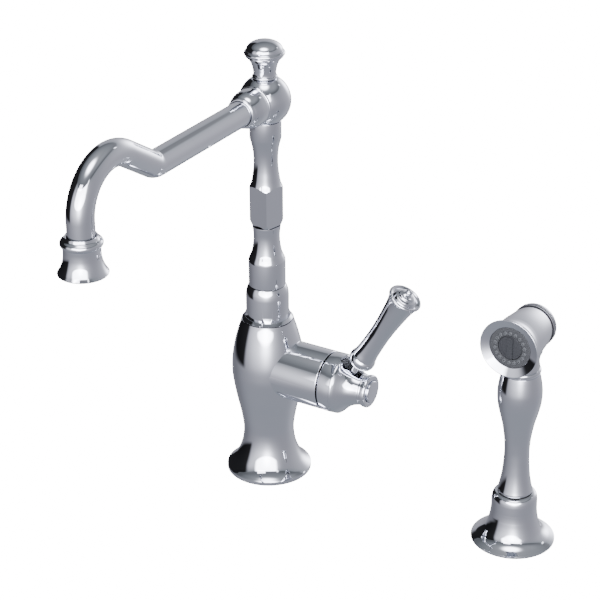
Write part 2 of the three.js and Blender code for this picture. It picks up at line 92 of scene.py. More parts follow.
def eased(points, steps=4):
    """Rounds off each corner that is given as (radius, height, rounding)."""
    out = []
    for before, here, after in zip([points[0]] + points, points, points[1:] + [points[-1]]):
        if len(here) == 2:
            out.append(here)
            continue
        b, c, a = Vector(before[:2]), Vector(here[:2]), Vector(after[:2])
        cut = min(here[2], (b - c).length * 0.45, (a - c).length * 0.45)
        start, end = c + (b - c).normalized() * cut, c + (a - c).normalized() * cut
        for i in range(steps + 1):
            t = i / steps
            p = start * (1 - t) ** 2 + c * 2 * t * (1 - t) + end * t**2
            out.append((p.x, p.y))
    return out


def place(x, y, z, turn="Z", lean=0.0):
    """The frame of a turned piece: its own axis along world Z, X or -Y, or leaning from Z towards X."""
    turns = {
        "Z": Matrix.Identity(4),
        "X": Matrix.Rotation(math.pi / 2, 4, "Y"),
        "-Y": Matrix.Rotation(math.pi / 2, 4, "X"),
    }
    at = Matrix.Translation((x * MM, y * MM, z * MM))
    return at @ turns[turn] @ Matrix.Rotation(math.radians(lean), 4, "Y")


def finished(name, mesh, sharp=35):
    """An object of the mesh, smooth but for edges that turn more than sharp degrees."""
    mesh.shade_smooth()
    mesh.set_sharp_from_angle(angle=math.radians(sharp))
    made = bpy.data.objects.new(name, mesh)
    bpy.context.scene.collection.objects.link(made)
    return made


def turned(name, where, points, sides=144, sharp=35):
    """A closed body turned from points (radius, height) in mm, on the axis at both ends or a loop."""
    outline = [p for i, p in enumerate(points) if i == 0 or math.dist(p[:2], points[i - 1][:2]) > 1e-4]
    area = sum(a[0] * b[1] - b[0] * a[1] for a, b in zip(outline, outline[1:] + outline[:1]))
    if area < 0:
        outline.reverse()
    loop = outline[0][0] > 1e-6
    verts, rings, faces = [], [], []
    for r, h in outline:
        count = sides if r > 1e-6 else 1
        rings.append(range(len(verts), len(verts) + count))
        for k in range(count):
            a = 2 * math.pi * k / sides
            verts.append(where @ Vector((r * MM * math.cos(a), r * MM * math.sin(a), h * MM)))
    pairs = list(zip(rings, rings[1:])) + ([(rings[-1], rings[0])] if loop else [])
    for low, high in pairs:
        for k in range(sides):
            n = (k + 1) % sides
            if len(low) == 1:
                faces.append((low[0], high[n], high[k]))
            elif len(high) == 1:
                faces.append((low[k], low[n], high[0]))
            else:
                faces.append((low[k], low[n], high[n], high[k]))
    mesh = bpy.data.meshes.new(name)
    mesh.from_pydata(verts, [], faces)
    return finished(name, mesh, sharp)


def baked(name, target, used=(), sharp=35):
    """The target as its modifiers leave it, as a new object; the target and what it used are removed."""
    bpy.context.view_layer.update()
    mesh = bpy.data.meshes.new_from_object(target.evaluated_get(bpy.context.evaluated_depsgraph_get()))
    target.modifiers.clear()
    for item in [target, *used]:
        bpy.data.objects.remove(item)
    mesh.name = name
    return finished(name, mesh, sharp)


def carve(name, target, tools, operation="DIFFERENCE", sharp=35):
    """One object out of the target and the tools, which are used up."""
    for tool in tools:
        mod = target.modifiers.new("carve", "BOOLEAN")
        mod.operation, mod.object, mod.solver = operation, tool, "EXACT"
    return baked(name, target, tools, sharp)


def surface(name, **settings):
    """A new material: itself, its tree, its shader with those settings, the object's own coordinates."""
    material = bpy.data.materials.new(name)
    material.use_nodes = True
    tree = material.node_tree
    shader = tree.nodes["Principled BSDF"]
    for key, value in settings.items():
        shader.inputs[key.replace("_", " ")].default_value = value
    return material, tree, shader, add_node(tree, "ShaderNodeTexCoord").outputs["Object"]


def chrome_plate():
    """Polished chrome plate: a mirror a little violet-grey, with the faintest unevenness of polish."""
    material, tree, shader, coords = surface("chrome_plate", Metallic=1.0, Roughness=0.03)
    polish = add_node(tree, "ShaderNodeTexNoise", {"Vector": coords}, Scale=60.0, Detail=2.0).outputs["Fac"]
    pair = {"Color1": srgb("#eceef4"), "Color2": srgb("#e7e9f0")}
    tint = add_node(tree, "ShaderNodeMixRGB", {"Fac": polish}, **pair)
    tree.links.new(tint.outputs["Color"], shader.inputs["Base Color"])
    return material


CHROME = chrome_plate()


def belongs(piece, body, node, material=CHROME):
    """The finished piece takes its material, rides on its body and stands for that CAD node."""
    piece.data.materials.clear()
    piece.data.materials.append(material)
    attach(piece, body)
    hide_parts(node)


UPRIGHT = place(0, 0, 0)
BARREL = place(0, 0, BARREL_Z, "X")
vase = turned(
    "vase",
    UPRIGHT,
    eased(
        [(0, 18), (16.3, 18), (16.3, 0), (19, 0), (19, 1.6), (26.5, 1.6), (26.5, 0)]
        + [(29.85, 0, 0.3), (29.85, 2.7)]
    )
    + through(
        [(29.2, 3.15), (26.8, 5.3), (24.0, 8.7), (21.9, 12.5), (20.25, 16.5), (18.85, 21.5), (18.0, 27)]
        + [(17.75, 32), (17.9, 35), (18.6, 40.4), (20.2, 49.2), (22.4, 59.1), (24.1, 68.7), (25.1, 76)]
        + [(25.25, 82), (24.9, 89.4), (23.4, 98.9), (20.9, 109), (18.4, 117)]
    )
    + [(18.0, 118.55), (12.6, 118.55), (12.6, 103.5), (0, 103.5)],
)
barrel = turned(
    "barrel",
    BARREL,
    eased([(0, 6), (20.8, 6), (20.8, 49.8, 0.5), (17.6, 49.8), (17.6, 16), (0, 16)]),
)
body = carve("faucet_body", vase, [barrel], "UNION")
belongs(body, "faucet_base", "body_shell")

# ---------------------------------------------------------------------------
# Column: a collar nut on a sloping ledge, with the chamfered corners of its
# wrench flats at its foot, the lower column and the upper column with its four
# milled flats, all turned brass with chrome plate.
# ---------------------------------------------------------------------------


def block(name, where, width, depth, low, high):
    """A block of that width and depth in mm, from low to high along its frame's own axis."""
    square = Matrix.Diagonal((width / depth, 1, 1, 1)) @ Matrix.Rotation(math.pi / 4, 4, "Z")
    corner = depth / math.sqrt(2)
    return turned(name, where @ square, [(0, low), (corner, low), (corner, high), (0, high)], 4)


collar_form = turned(
    "collar_form",
    UPRIGHT,
    [(6.5, 104), (12.3, 104), (12.3, 118.9), (17.5, 118.9)]
    + eased([(17.5, 119.1), (15.9, 121.2, 0.2), (14.3, 121.2)])
    + [(14.3, 123.8), (14.85, 123.8), (14.85, 136.2)]
    + through([(14.78, 137.6), (14.45, 139.9), (13.75, 142.2), (12.95, 144.0)], 4)
    + [(12.6, 144.4), (6.5, 144.4)],
)
FLATS_TURN, FOOT_CORNER_R = -13, 17.8
foot_form = turned(
    "foot_form",
    Matrix.Rotation(math.radians(FLATS_TURN - 45), 4, "Z"),
    [(10, 121.1), (FOOT_CORNER_R, 121.1), (FOOT_CORNER_R, 124.6), (10, 124.6)],
    4,
)
chamfer_tool = turned(
    "chamfer_tool",
    UPRIGHT,
    [(0, 121), (16.1, 121), (14.85, 124.3), (14.85, 125), (0, 125)],
)
foot = carve("collar_foot", foot_form, [chamfer_tool], "INTERSECT")
collar = carve("column_collar_nut", collar_form, [foot], "UNION")
belongs(collar, "faucet_base", "column_collar")

lower_column = turned(
    "lower_column",
    UPRIGHT,
    eased([(6.5, 144.7), (12.7, 144.7, 0.2), (12.7, 162.0)])
    + through(
        [(12.62, 163.2), (11.7, 165.7), (10.7, 168), (10.1, 170.3), (9.45, 174), (9.05, 178), (8.98, 181.4)]
        + [(9.3, 185.2), (9.65, 188.0)]
    )
    + [(9.6, 188.55), (6.5, 188.55)],
)
belongs(lower_column, "faucet_base", "column_lower")

flared_column = turned(
    "flared_column",
    UPRIGHT,
    eased([(6.5, 188.9), (9.8, 188.9, 0.2), (11.35, 192.5, 0.4), (11.35, 215.9)])
    + through(
        [(11.1, 217.0), (10.3, 218.8), (9.7, 221), (9.0, 225.3), (8.45, 229.7), (8.2, 235), (8.38, 240.4)]
        + [(8.9, 244.7), (9.4, 247.2), (10.2, 250.2)]
    )
    + eased([(10.68, 252.2), (10.68, 264.1, 0.3), (7.7, 264.1), (7.7, 257.7), (6.5, 257.7)]),
)
FLAT_APOTHEM, FLAT_TOP, CUTTER_R, CUTTER_END = 8.0, 218.4, 14.0, 18
cutters = []
for turn in range(4):
    spin = Matrix.Rotation(math.radians(FLATS_TURN + 90 * turn), 4, "Z")
    mill = spin @ place(0, 0, FLAT_TOP - CUTTER_R, "-Y")
    below = spin @ place(0, 0, FLAT_TOP - CUTTER_R - 10, "-Y")
    disc = [(0, FLAT_APOTHEM), (CUTTER_R, FLAT_APOTHEM), (CUTTER_R, CUTTER_END), (0, CUTTER_END)]
    side = CUTTER_R * math.sqrt(2)
    cutters.append(turned("cutter", mill, disc))
    cutters.append(block("cutter", below, side, side, FLAT_APOTHEM, CUTTER_END))
upper_column = carve("upper_column", flared_column, cutters, sharp=25)
belongs(upper_column, "faucet_base", "column_upper")

# ---------------------------------------------------------------------------
# Spout: the ball joint, the collar on its arm, the bent tube and the bell
# nozzle with its aerator, all chrome plated brass and soldered together. The
# whole spout turns round the column.
# ---------------------------------------------------------------------------


def round_off(radius, height, size, start, end, steps=10):
    """An arc round (radius, height), from one angle to another in degrees; 0 points outwards."""
    turns = [math.radians(start + (end - start) * i / steps) for i in range(steps + 1)]
    return [(radius + size * math.cos(t), height + size * math.sin(t)) for t in turns]


BALL_Z, BALL_R, TUBE_R, BORE_R, REACH = 278.1, 17.3, 8.53, 7.3, 202.75
BALL_FOOT, BALL_TOP = -13.7, 14.9
low, high = (math.degrees(math.asin(end / BALL_R)) for end in (BALL_FOOT, BALL_TOP))
ball = turned(
    "spout_ball",
    place(0, 0, BALL_Z),
    [(6, BALL_FOOT)] + round_off(0, 0, BALL_R, low, high, 48) + [(4.5, BALL_TOP), (4.5, 6), (6, 6)],
    sides=160,
)
belongs(ball, "spout", "ball_hub")

arm_collar = turned(
    "arm_collar",
    place(0, 0, BALL_Z, "-Y"),
    [(8.9, 15.8), (8.9, 14.6), (10.9, 13.3)]
    + eased([(12.8, 13.2), (13.15, 13.8, 0.3), (12.9, 14.7, 0.2), (12.55, 14.9)])
    + through(
        [(12.65, 15.2), (12.9, 16.8), (12.95, 18.4), (12.75, 21.4), (12.3, 23.6), (11.2, 26.8), (10.1, 28.6)],
        5,
    )
    + round_off(9.25, 29.75, 0.95, -40, 90, 12)
    + [(8.9, 30.7)],
)
belongs(arm_collar, "spout", "spout_collar")


def spout_line():
    """The tube's centre line as (y, z): level arm, soft knee, rise, swan neck, then straight down."""
    rise, goose, knee = math.radians(32), 30.5, 11.0
    goose_y, goose_z = -REACH + goose, 269.5
    top_y, top_z = goose_y + goose * math.sin(rise), goose_z + goose * math.cos(rise)
    knee_y = top_y + (top_z - BALL_Z) / math.tan(rise)
    line = [(-9.3, BALL_Z), (-31, BALL_Z), (-60, BALL_Z), (-90, BALL_Z)]
    for i in range(13):
        t = rise * i / 12
        y = knee_y + knee * (math.tan(rise / 2) - math.sin(t))
        line.append((y, BALL_Z + knee * (1 - math.cos(t))))
    for i in range(49):
        t = rise - (rise + math.pi / 2) * i / 48
        line.append((goose_y + goose * math.sin(t), goose_z + goose * math.cos(t)))
    return line + [(-REACH, 262), (-REACH, 246.6)]


def node_group(name, inputs, output):
    """An empty Geometry Nodes group with those named inputs and one output of geometry."""
    tree = bpy.data.node_groups.new(name, "GeometryNodeTree")
    for label, kind in inputs.items():
        tree.interface.new_socket(label, in_out="INPUT", socket_type="NodeSocket" + kind)
    tree.interface.new_socket(output, in_out="OUTPUT", socket_type="NodeSocketGeometry")
    return tree


def grown(name, target, tree, values, used=()):
    """What the group makes of the target with those input values, as a new object."""
    mod = target.modifiers.new(name, "NODES")
    mod.node_group = tree
    for socket in tree.interface.items_tree:
        if socket.name in values:
            mod[socket.identifier] = values[socket.name]
    return baked(name, target, used)


def swept_tube(name, line, radius, bore):
    """Geometry Nodes: a tube round a path, open through its bore, closed by rings at its ends."""
    path = bpy.data.meshes.new(name + "_path")
    steps = [(i, i + 1) for i in range(len(line) - 1)]
    path.from_pydata([(0, y * MM, z * MM) for y, z in line], steps, [])
    target = bpy.data.objects.new(name + "_path", path)
    bpy.context.scene.collection.objects.link(target)
    inputs = {"Path": "Geometry", "Radius": "Float", "Bore": "Float", "Material": "Material"}
    tree = node_group("tube_on_path", inputs, "Tube")
    source = add_node(tree, "NodeGroupInput").outputs
    curve = add_node(tree, "GeometryNodeMeshToCurve", {"Mesh": source["Path"]}).outputs["Curve"]
    walls = []
    for label in ("Radius", "Bore"):
        rim = add_node(tree, "GeometryNodeCurvePrimitiveCircle", {"Radius": source[label]}, Resolution=96)
        ends = {"Curve": curve, "Profile Curve": rim.outputs["Curve"]}
        walls.append(add_node(tree, "GeometryNodeCurveToMesh", ends, Fill_Caps=True).outputs["Mesh"])
    pair = {"Mesh 1": walls[0], "Mesh 2": walls[1]}
    hollow = add_node(tree, "GeometryNodeMeshBoolean", pair, operation="DIFFERENCE").outputs["Mesh"]
    real = add_node(tree, "GeometryNodeRealizeInstances", {"Geometry": hollow}).outputs["Geometry"]
    last = {"Geometry": real, "Material": source["Material"]}
    painted = add_node(tree, "GeometryNodeSetMaterial", last).outputs["Geometry"]
    add_node(tree, "NodeGroupOutput", {"Tube": painted})
    values = {"Radius": radius * MM, "Bore": bore * MM, "Material": CHROME}
    return grown(name, target, tree, values)


tube = swept_tube("spout_pipe", spout_line(), TUBE_R, BORE_R)
belongs(tube, "spout", "spout_tube")

nozzle = turned(
    "bell_nozzle",
    place(0, -REACH, 0),
    [(8.9, 246.3), (8.9, 260.4), (9.9, 260.6), (10.4, 259.6), (10.7, 259.0)]
    + round_off(10.45, 256.2, 2.5, 68, -66, 18)
    + through(
        [(11.45, 253.4), (11.35, 251.3), (11.4, 249), (11.6, 246.7), (12.1, 244.2), (12.9, 241.8)]
        + [(14.0, 239.4), (15.05, 237.7)]
    )
    + eased([(15.45, 237.1), (15.3, 236.45, 0.3), (14.6, 236.5)])
    + through([(14.2, 237.2), (13.2, 239.1), (12.0, 240.6), (10.5, 241.4)])
    + [(10.5, 246.3)],
)
belongs(nozzle, "spout", "spout_nozzle")

# ---------------------------------------------------------------------------
# Finial: a knob turned from brass and chrome plated, with a bead at its foot
# and a domed cap, screwed into the top of the ball.
# ---------------------------------------------------------------------------
finial = turned(
    "finial_knob",
    UPRIGHT,
    [(0, 286), (4.1, 286), (4.1, 293.3), (7.4, 293.3)]
    + round_off(7.25, 294.5, 1.15, -80, 70, 12)
    + through(
        [(7.5, 296.4), (7.58, 297.9), (7.9, 299.9), (8.55, 302.6), (9.8, 305.4), (11.2, 307.2), (12.1, 308.0)]
    )
    + [(12.5, 308.3), (12.25, 308.75)]
    + round_off(12.1, 310.6, 1.45, -70, 80, 12)
    + through(
        [(12.1, 312.2), (12.05, 313.2), (11.2, 315.0), (9.2, 316.8), (6.2, 318.2), (3.0, 318.95), (0, 319.2)]
    ),
)
belongs(finial, "spout", "finial")

# ---------------------------------------------------------------------------
# Handle: the ring, the slotted bell and the end ring with its flat button
# turn together round the barrel's axis and set the water's warmth. They are
# brass castings, chrome plated; the bell is left unpolished inside, and its
# inner faces are painted a darker grey as painted shade in the hollow.
# ---------------------------------------------------------------------------
handle_ring = turned(
    "warmth_ring",
    BARREL,
    eased([(17.8, 50.5), (20.0, 50.5, 0.3), (20.75, 51.3, 0.3), (20.85, 55.0), (20.85, 57)])
    + [(20.6, 59.9), (17.8, 59.9)],
)
belongs(handle_ring, "handle", "handle_ring")


def shaded_satin_cast():
    """Unpolished cast chrome, rough; its darker grey is painted shade so that the hollow reads as depth."""
    material, tree, shader, coords = surface("satin_chrome_painted_shade", Metallic=0.6, Roughness=0.45)
    grain = add_node(tree, "ShaderNodeTexNoise", {"Vector": coords}, Scale=900.0, Detail=3.0).outputs["Fac"]
    pair = {"Color1": srgb("#85878c"), "Color2": srgb("#a3a5aa")}
    tone = add_node(tree, "ShaderNodeMixRGB", {"Fac": grain}, **pair)
    tree.links.new(tone.outputs["Color"], shader.inputs["Base Color"])
    return material


SHADED_CAST = shaded_satin_cast()
SLOT_X, SLOT_LENGTH, SLOT_WIDTH = 66.5, 17, 9.5
bell_form = turned(
    "bell_form",
    BARREL,
    [(18, 59.93), (20.6, 59.93), (20.6, 60.9)]
    + through(
        [(20.45, 61.4), (19.4, 62.7), (17.6, 64.4), (15.8, 66.2), (14.1, 68.2), (12.5, 70.9), (11.4, 73.8)]
        + [(10.7, 76.4)]
    )
    + [(10.5, 76.8), (8.6, 76.8), (8.6, 76.6)]
    + through([(9.3, 74), (10.4, 71), (12.0, 68.2), (14.1, 65.6), (16.2, 63.3), (18.0, 60.8)]),
)
slot_tool = block("slot_tool", place(SLOT_X, 0, BARREL_Z + 2), SLOT_LENGTH, SLOT_WIDTH, 0, 30)
bell = carve("slotted_bell", bell_form, [slot_tool])
belongs(bell, "handle", "handle_bell")
bell.data.materials.append(SHADED_CAST)
# Painted shade: the bell's faces that look inwards, into its hollow, take the darker grey cast chrome.
INWARD = -1.6 * MM
for facet in bell.data.polygons:
    across, up = facet.center.y, facet.center.z - BARREL_Z * MM
    if facet.normal.y * across + facet.normal.z * up < INWARD:
        facet.material_index = 1

end_ring = turned(
    "end_ring_bead",
    BARREL,
    [(0, 73.6), (8.2, 73.6), (8.2, 76.9)]
    + eased([(10.7, 76.9), (10.9, 77.5, 0.3), (10.5, 78.2, 0.2), (10.6, 78.5)])
    + eased([(11.3, 79.0), (11.5, 80.4), (11.3, 81.8, 0.4), (10.6, 82.3, 0.3), (8.3, 82.3, 0.2), (8.1, 81)])
    + [(0, 81)],
)
belongs(end_ring, "handle", "end_ring")

end_button = turned(
    "end_button_cap",
    BARREL,
    eased([(0, 81.3), (7.7, 81.3), (7.7, 83.3, 0.5), (7.0, 83.75, 0.3), (0, 83.9)]),
)
belongs(end_button, "handle", "end_button")

# ---------------------------------------------------------------------------
# Lever: a flat neck with an eye round the valve's stem comes out of the bell's
# slot and carries the bead and the waisted grip, whose cupped end holds a
# stepped rosette with a ball. Brass castings, chrome plated, screwed together.
# ---------------------------------------------------------------------------
LEVER_X, LEAN = 61.5, 30.3
LEVER = place(LEVER_X, 0, BARREL_Z, "Z", LEAN)
NECK_THICK, NECK_WIDTH, NECK_OFFSET = 4.4, 6.4, 0.5
neck_at = LEVER @ Matrix.Translation((NECK_OFFSET * MM, 0, 0))
neck = block("fork_neck", neck_at, NECK_THICK, NECK_WIDTH, 3.2, 21.9)
soft = neck.modifiers.new("soft", "BEVEL")
soft.width, soft.segments = 0.9 * MM, 4
eye = turned("fork_eye", BARREL, eased([(3.7, 60.7), (5.3, 60.7, 0.6), (5.3, 66.4, 0.6), (3.7, 66.4)]), 64)
fork = carve("lever_fork", neck, [eye], "UNION")
belongs(fork, "lever", "lever_hub")

lever_base = turned(
    "lever_bead",
    LEVER,
    [(0, 22.2), (5.6, 22.2)]
    + through([(7.0, 22.8), (8.3, 23.9), (9.0, 25.3), (9.22, 27.0), (9.0, 28.7), (8.5, 29.7)])
    + [(8.2, 30.1), (0, 30.1)],
)
belongs(lever_base, "lever", "lever_base")

grip = turned(
    "lever_handle",
    LEVER,
    [(0, 30.4), (8.25, 30.4)]
    + through(
        [(8.15, 31.6), (7.75, 34.6), (7.5, 38), (7.32, 42.5), (7.2, 48), (7.2, 54.5), (7.45, 60.5)]
        + [(7.95, 67.5), (8.6, 74.5), (9.3, 80.5), (10.3, 85.6), (10.9, 87.6)]
    )
    + round_off(10.55, 89.0, 1.15, -40, 120, 14)
    + [(9.6, 89.7), (8.8, 89.4), (8.8, 86.6), (0, 86.6)],
)
belongs(grip, "lever", "lever_grip")
grip.visible_glossy = False  # in the column it would be mirrored as a thin broken line

rosette = turned(
    "lever_rosette_ball",
    LEVER,
    eased(
        [(0, 86.9), (8.5, 86.9), (8.5, 88.0, 0.2), (7.7, 88.9, 0.3), (7.3, 90.5, 0.3), (6.4, 90.9, 0.3)]
        + [(5.6, 91.2, 0.2), (5.2, 92.4, 0.3), (4.3, 92.7, 0.2), (3.4, 92.8, 0.2), (2.6, 93.4)]
    )
    + round_off(0, 94.5, 2.4, -20, 90, 14),
)
belongs(rosette, "lever", "lever_rosette")

# ---------------------------------------------------------------------------
# Spray holder: a flared escutcheon of chrome plated brass with a domed top,
# clamped in its own deck hole, with a rubber guide inside for the hose's end.
# ---------------------------------------------------------------------------
SPRAY_X, SPRAY_Y = 190, 4
SPRAY = place(SPRAY_X, SPRAY_Y, 0)
holder = turned(
    "spray_escutcheon",
    SPRAY,
    [(12.4, 14), (12.4, 0), (17, 0), (17, 1.6), (24.4, 1.6)]
    + eased([(24.4, 0), (28.1, 0, 0.3), (28.1, 1.3)])
    + through(
        [(27.4, 1.65), (25.9, 2.25), (23.6, 3.3), (21.1, 5.1), (19.2, 7.4), (17.7, 11.0), (16.6, 15.0)]
        + [(15.75, 19.5)]
    )
    + through([(15.45, 22.5), (15.3, 25)], 4)
    + [(15.3, 30.2)]
    + through([(15.2, 31.4), (14.9, 33.2), (14.2, 34.9), (13.2, 35.8)], 4)
    + [(11.5, 36.0), (11.5, 16), (9.8, 16), (9.8, 14)],
)
belongs(holder, "faucet_base", "spray_holder")

# ---------------------------------------------------------------------------
# Handset: the waisted handle, the bead ring under the head, the head with its
# trumpet mouth and at its back the push button in its grooved ring, all chrome
# plated brass. The floors of the ring's grooves are painted dark, as painted shade.
# ---------------------------------------------------------------------------
handset = turned(
    "handset_handle",
    SPRAY,
    [(5, 21.9), (8.5, 21.9), (8.5, 37.3), (11.6, 37.3), (11.8, 38.2)]
    + through(
        [(11.55, 38.9), (11.05, 40.9), (10.1, 45.6), (9.4, 50.3), (8.9, 55.5), (8.55, 61), (8.38, 67)]
        + [(8.5, 71.1), (8.8, 75.8), (9.35, 80.2), (10.1, 85), (10.95, 89.3), (12.05, 93.8), (13.2, 98.3)]
        + [(14.15, 102.8), (14.65, 107), (14.8, 110.6), (14.7, 114), (14.1, 118.6), (13.2, 123.4)]
        + [(12.75, 125.4)]
    )
    + [(12.6, 125.95), (8.6, 125.95), (8.6, 136), (5, 136)],
)
belongs(handset, "handset", "spray_handle")
handset.visible_glossy = False  # in the vase it would be mirrored as a thin broken line

neck_ring = turned(
    "handset_bead",
    SPRAY,
    [(9, 126.1), (11.9, 126.1)]
    + round_off(11.15, 128.35, 1.95, -68, 68, 14)
    + [(11.8, 130.6), (9, 130.6)],
)
belongs(neck_ring, "handset", "spray_neck_ring")

HEAD_Z = 152.3
HEAD = place(SPRAY_X, SPRAY_Y, HEAD_Z, "-Y")
head_form = turned(
    "head_form",
    HEAD,
    [(0, -14), (9.9, -14), (14.35, -14), (14.5, -13.5), (16.2, 3), (16.3, 9)]
    + through([(16.35, 10.4), (16.55, 13), (16.95, 15.2), (17.2, 16.1)])
    + eased([(17.1, 16.3), (17.1, 16.8, 0.1), (17.9, 17.0, 0.25), (18.25, 17.8, 0.25), (17.95, 18.3)])
    + through([(18.0, 18.5), (18.5, 19.2), (19.1, 20.2), (19.6, 20.9)], 4)
    + round_off(19.7, 21.35, 0.42, -20, 130, 10)
    + [(19.3, 21.6), (14.5, 19.7), (14.3, 19.6), (14.3, 11), (0, 11)],
)
head_neck = turned(
    "head_neck",
    SPRAY,
    [(0, 137), (9, 137), (9, 130.9), (12.2, 130.9)]
    + through([(12.1, 131.5), (11.7, 133.6), (11.6, 136), (12.1, 139.2), (13.2, 142)])
    + [(13.2, 150), (0, 150)],
)
head_whole = carve("head_whole", head_form, [head_neck], "UNION")
bore_tool = turned("bore_tool", HEAD, [(0, -16), (9.9, -16), (9.9, -5.9), (0, -5.9)], 64)
pocket_tool = turned("pocket_tool", HEAD, [(0, 11), (14.3, 11), (14.3, 19.6), (0, 19.6)], 96)
head = carve("spray_head_shell", head_whole, [bore_tool, pocket_tool])
belongs(head, "handset", "spray_head")


def moulded(name, colour, rough, grain):
    """Moulded plastic: an even colour with a fine satin grain that breaks up the highlight."""
    material, tree, shader, coords = surface(name, Roughness=rough, Specular_IOR_Level=0.4)
    fine = add_node(tree, "ShaderNodeTexNoise", {"Vector": coords}, Scale=900.0, Detail=3.0).outputs["Fac"]
    lift = add_node(tree, "ShaderNodeMapRange", {"Value": fine}, To_Min=0.94, To_Max=1.06)
    value = {"Value": lift.outputs["Result"]}
    shade = add_node(tree, "ShaderNodeHueSaturation", value, Color=srgb(colour))
    bump = add_node(tree, "ShaderNodeBump", {"Height": fine}, Strength=grain, Distance=0.0002)
    tree.links.new(shade.outputs["Color"], shader.inputs["Base Color"])
    tree.links.new(bump.outputs["Normal"], shader.inputs["Normal"])
    return material


# The dark plastic is the face insert's own colour, and also painted shade in the rear ring's grooves.
DARK = moulded("dark_plastic_and_groove_shade", "#2c2d30", 0.45, 0.02)
rear_ring = turned(
    "head_rear_ring",
    HEAD,
    [(9.9, -22.1), (9.9, -14.2), (12.9, -14.2), (12.9, -15.0)]
    + eased([(14.9, -15.1), (14.9, -15.8, 0.15), (14.1, -16.0), (14.1, -16.5)])
    + eased([(14.9, -16.7), (14.9, -17.3, 0.15), (14.1, -17.5), (14.1, -18.0), (14.8, -18.2)])
    + through([(14.7, -19.2), (14.2, -20.5), (13.4, -21.5), (12.2, -22.0)], 4),
)
belongs(rear_ring, "handset", "spray_rear_ring")
rear_ring.data.materials.append(DARK)
# Painted shade: the faces down in the ring's grooves take the dark plastic to stand for their shadow.
GROOVES_BACK, GROOVES_FRONT, GROOVES_R = -18.1, -14.1, 14.6
for facet in rear_ring.data.polygons:
    spot = (HEAD.inverted() @ facet.center) / MM
    if GROOVES_BACK < spot.z < GROOVES_FRONT and math.hypot(spot.x, spot.y) < GROOVES_R:
        facet.material_index = 1

rear_button = turned(
    "head_push_button",
    HEAD,
    [(0, -12), (9.5, -12), (9.5, -22.2)]
    + through([(9.4, -22.6), (8.6, -23.4), (6.0, -24.3), (3.0, -24.8), (0, -24.95)]),
)
belongs(rear_button, "button", "spray_button")

# ---------------------------------------------------------------------------
# Spray face: a grey moulded plate, pressed into the mouth, with eighteen softer
# and paler jets on one circle round a darker disc with a raised bar.
# ---------------------------------------------------------------------------
GREY = moulded("grey_moulded_plastic", "#38393b", 0.5, 0.02)
SOFT = moulded("soft_grey_jets", "#4b4d4f", 0.6, 0.02)
JETS, JET_CIRCLE, PLATE_TOP = 18, 10.3, 19.6

plate = turned(
    "face_plate_disc",
    HEAD,
    eased([(0, 11.3), (14.1, 11.3), (14.1, PLATE_TOP, 0.3), (8.4, PLATE_TOP, 0.2), (8.4, 16), (0, 16)]),
)


def ring_of_jets(target, jet, count, circle):
    """Geometry Nodes: adds count jets to the plate, on a circle round the spray's axis."""
    inputs = {"Plate": "Geometry", "Jet": "Object", "Count": "Int", "Circle": "Float", "Material": "Material"}
    tree = node_group("ring_of_jets", inputs, "Face")
    source = add_node(tree, "NodeGroupInput").outputs
    size = {"Vertices": source["Count"], "Radius": source["Circle"]}
    ring = add_node(tree, "GeometryNodeMeshCircle", size).outputs["Mesh"]
    spin = add_node(tree, "GeometryNodeTransform", {"Geometry": ring}, Rotation=(0, 0, math.pi / count))
    info = add_node(tree, "GeometryNodeObjectInfo", {"Object": source["Jet"]}).outputs["Geometry"]
    spots = {"Points": spin.outputs["Geometry"], "Instance": info}
    jets = add_node(tree, "GeometryNodeInstanceOnPoints", spots).outputs["Instances"]
    stood = add_node(tree, "GeometryNodeTransform", {"Geometry": jets})
    stood.inputs["Translation"].default_value = HEAD.to_translation()
    stood.inputs["Rotation"].default_value = HEAD.to_euler()
    both = add_node(tree, "GeometryNodeJoinGeometry")
    tree.links.new(source["Plate"], both.inputs["Geometry"])
    tree.links.new(stood.outputs["Geometry"], both.inputs["Geometry"])
    real = add_node(tree, "GeometryNodeRealizeInstances", {"Geometry": both.outputs["Geometry"]})
    last = {"Geometry": real.outputs["Geometry"], "Material": source["Material"]}
    painted = add_node(tree, "GeometryNodeSetMaterial", last).outputs["Geometry"]
    add_node(tree, "NodeGroupOutput", {"Face": painted})
    values = {"Jet": jet, "Count": count, "Circle": circle * MM, "Material": GREY}
    return grown("spray_face", target, tree, values, [jet])


jet = turned(
    "jet",
    Matrix.Identity(4),
    [(0, 19.3), (1.35, 19.3), (1.2, 20.2), (0.9, 20.4), (0.5, 20.35), (0.45, 19.7), (0, 19.7)],
    24,
)
face = ring_of_jets(plate, jet, JETS, JET_CIRCLE)
belongs(face, "handset", "spray_face_plate", GREY)
face.data.materials.append(SOFT)
for facet in face.data.polygons:
    facet.material_index = int((HEAD.inverted() @ facet.center).z > (PLATE_TOP + 0.03) * MM)

insert_disc = turned("insert_disc", HEAD, eased([(0, 16.3), (8.1, 16.3), (8.1, 19.4, 0.25), (0, 19.4)]))
BAR_WIDTH, BAR_LENGTH = 4, 14.6
bar = block("bar", HEAD, BAR_WIDTH, BAR_LENGTH, 18.6, 20.2)
insert = carve("face_insert", insert_disc, [bar], "UNION")
belongs(insert, "handset", "spray_face_insert", DARK)

# ---------------------------------------------------------------------------
# Parts kept as the CAD made them: seals, washers, nuts, shanks, stubs and the
# inner works, each with the finish of its own material.
# ---------------------------------------------------------------------------


